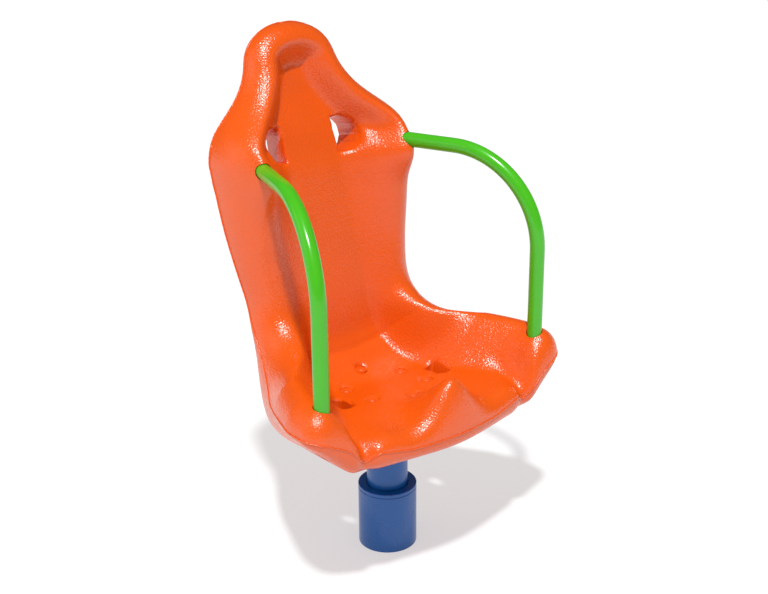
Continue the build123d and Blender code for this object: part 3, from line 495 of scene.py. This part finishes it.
def circle(centre, direction, radius, count=48):
    """Points of a circle square to a direction."""
    direction = Vector(direction).normalized()
    side = direction.orthogonal().normalized()
    other = direction.cross(side)
    return [Vector(centre) + radius * (side * math.cos(a) + other * math.sin(a))
            for a in (2 * math.pi * k / count for k in range(count))]


def bar_point(side, angle, run):
    """A point on a bar's axis, in metres."""
    reach = BAR_BEND_R * (1 - math.cos(angle)) + run * math.sin(angle)
    rise = BAR_BEND_R * math.sin(angle) + run * math.cos(angle)
    return Vector((side * (BAR_X - reach * math.sin(BAR_TOE_IN)),
                   BAR_Y + reach * math.cos(BAR_TOE_IN), BAR_BEND_Z + rise))


cut = bmesh.new()
for side in (1, -1):
    box = []
    in_x, in_y = PAN_SLOT_HALF_X - PAN_SLOT_ROUND, PAN_SLOT_HALF_Y - PAN_SLOT_ROUND
    for cx, cy, start in ((in_x, in_y, 0), (-in_x, in_y, 90), (-in_x, -in_y, 180), (in_x, -in_y, 270)):
        for k in range(9):
            a = math.radians(start + 10 * k + 5)
            corner_x = side * PAN_SLOT_X + cx + PAN_SLOT_ROUND * math.cos(a)
            corner_y = PAN_SLOT_Y + cy + PAN_SLOT_ROUND * math.sin(a)
            box.append((corner_x / 1000, corner_y / 1000, 0.25))
    prism(cut, box, (0, 0, 1), 0.25)
    out = Vector((0, math.sin(RECLINE), -math.cos(RECLINE)))
    dee_line = []
    for k in range(41):
        a = math.radians(-109 + 218 * k / 40)
        x = BACK_SLOT_X + max(BOW_X + BOW_REACH * math.cos(a), 0)
        t = BOW_HALF_HEIGHT * math.sin(a) - 1
        point = place(np.array(side * x), np.array(SLOT_LINE + t), np.array(120.0))
        dee_line.append(Vector(point / 1000))
    prism(cut, dee_line, out, 0.26)
    prism(cut, circle((side * BAR_X, BAR_Y, 0.400), (0, 0, 1), SOCKET_RADIUS), (0, 0, 1), 0.14)
    entry = bar_point(side, BAR_BEND, BAR_TOP_RUN)
    outward = (bar_point(side, BAR_BEND, 0.0) - entry).normalized()
    prism(cut, circle(entry, outward, SOCKET_RADIUS), outward, 0.20)
    prism(cut, circle(entry - outward * 0.010, outward, SOCKET_BOLT_RADIUS), -outward, 0.10)
    prism(cut, circle((side * BAR_X, BAR_Y, 0.388), (0, 0, 1), SOCKET_BOLT_RADIUS), (0, 0, -1), 0.10)
for bx, by in BOLTS:
    prism(cut, circle((bx / 1000, by / 1000, 0.350), (0, 0, 1), RECESS_RADIUS / 1000), (0, 0, 1), 0.1)
bmesh.ops.recalc_face_normals(cut, faces=cut.faces)
cutter_mesh = bpy.data.meshes.new("cutters")
cut.to_mesh(cutter_mesh)
cut.free()
cutter = bpy.data.objects.new("cutters", cutter_mesh)
bpy.context.scene.collection.objects.link(cutter)

# %% Cut and keep the result
boolean = shell.modifiers.new("openings", "BOOLEAN")
boolean.operation = "DIFFERENCE"
boolean.object = cutter
boolean.solver = "MANIFOLD"
depsgraph = bpy.context.evaluated_depsgraph_get()
cut_mesh = bpy.data.meshes.new_from_object(shell.evaluated_get(depsgraph))
shell.modifiers.clear()
shell.data = cut_mesh
bpy.data.objects.remove(cutter)
for polygon in shell.data.polygons:
    polygon.use_smooth = True
shell.data.set_sharp_from_angle(angle=math.radians(42))
shell.data.materials.clear()
shell.data.materials.append(ORANGE)
print("shell faces", len(shell.data.polygons), "vertices", len(shell.data.vertices))
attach(shell, "seat")
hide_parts("seat_shell")

# %% [markdown]
# ## The parting bead
# Where the two halves of the mould met, a thin bead runs round the whole rim. It follows a
# path, so Geometry Nodes sweep a small circle along the rim's points.

# %% Bead tree
def swept_bead(name, width):
    """A node tree that sweeps a circle along a curve, with the given width as its radius."""
    tree = bpy.data.node_groups.new(name, "GeometryNodeTree")
    tree.interface.new_socket("Geometry", in_out="INPUT", socket_type="NodeSocketGeometry")
    size = tree.interface.new_socket("Width", in_out="INPUT", socket_type="NodeSocketFloat")
    size.default_value = width
    finish_in = tree.interface.new_socket("Finish", in_out="INPUT", socket_type="NodeSocketMaterial")
    tree.interface.new_socket("Geometry", in_out="OUTPUT", socket_type="NodeSocketGeometry")
    given = tree.nodes.new("NodeGroupInput")
    made = tree.nodes.new("NodeGroupOutput")
    to_curve = tree.nodes.new("GeometryNodeMeshToCurve")
    profile = tree.nodes.new("GeometryNodeCurvePrimitiveCircle")
    profile.inputs["Resolution"].default_value = 8
    sweep = tree.nodes.new("GeometryNodeCurveToMesh")
    real = tree.nodes.new("GeometryNodeRealizeInstances")
    paint = tree.nodes.new("GeometryNodeSetMaterial")
    links = tree.links
    links.new(given.outputs["Geometry"], to_curve.inputs["Mesh"])
    links.new(given.outputs["Width"], profile.inputs["Radius"])
    links.new(to_curve.outputs["Curve"], sweep.inputs["Curve"])
    links.new(profile.outputs["Curve"], sweep.inputs["Profile Curve"])
    links.new(sweep.outputs["Mesh"], real.inputs["Geometry"])
    links.new(real.outputs["Geometry"], paint.inputs["Geometry"])
    links.new(given.outputs["Finish"], paint.inputs["Material"])
    links.new(paint.outputs["Geometry"], made.inputs["Geometry"])
    return tree, size.identifier, finish_in.identifier


def as_piece(obj, body):
    """Turns an object's evaluated shape into a plain mesh that rides on a body."""
    graph = bpy.context.evaluated_depsgraph_get()
    plain = bpy.data.meshes.new_from_object(obj.evaluated_get(graph))
    obj.modifiers.clear()
    obj.data = plain
    for polygon in plain.polygons:
        polygon.use_smooth = True
    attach(obj, body)
    print(obj.name, "faces", len(plain.polygons))


# %% Bead along the rim
BEAD_RADIUS = 0.0016
rim = np.vstack([front_points[0, :], front_points[1:, -1],
                 front_points[-1, -2::-1], front_points[-2:0:-1, 0]])
step = np.linalg.norm(np.diff(np.vstack([rim, rim[:1]]), axis=0), axis=1)
rim = rim[step > 1e-4]
closed = np.vstack([rim, rim[:1]])
along = np.concatenate([[0], np.cumsum(np.linalg.norm(np.diff(closed, axis=0), axis=1))])
even = np.linspace(0, along[-1], 520, endpoint=False)
rim = np.stack([np.interp(even, along, closed[:, k]) for k in range(3)], -1)
rim_mesh = bpy.data.meshes.new("rim_line")
rim_mesh.from_pydata(rim.tolist(), [(i, (i + 1) % len(rim)) for i in range(len(rim))], [])
bead = bpy.data.objects.new("parting_bead", rim_mesh)
bpy.context.scene.collection.objects.link(bead)
tree, width_id, finish_id = swept_bead("parting_bead_sweep", BEAD_RADIUS)
modifier = bead.modifiers.new("sweep", "NODES")
modifier.node_group = tree
modifier[width_id] = BEAD_RADIUS
modifier[finish_id] = ORANGE
as_piece(bead, "seat")
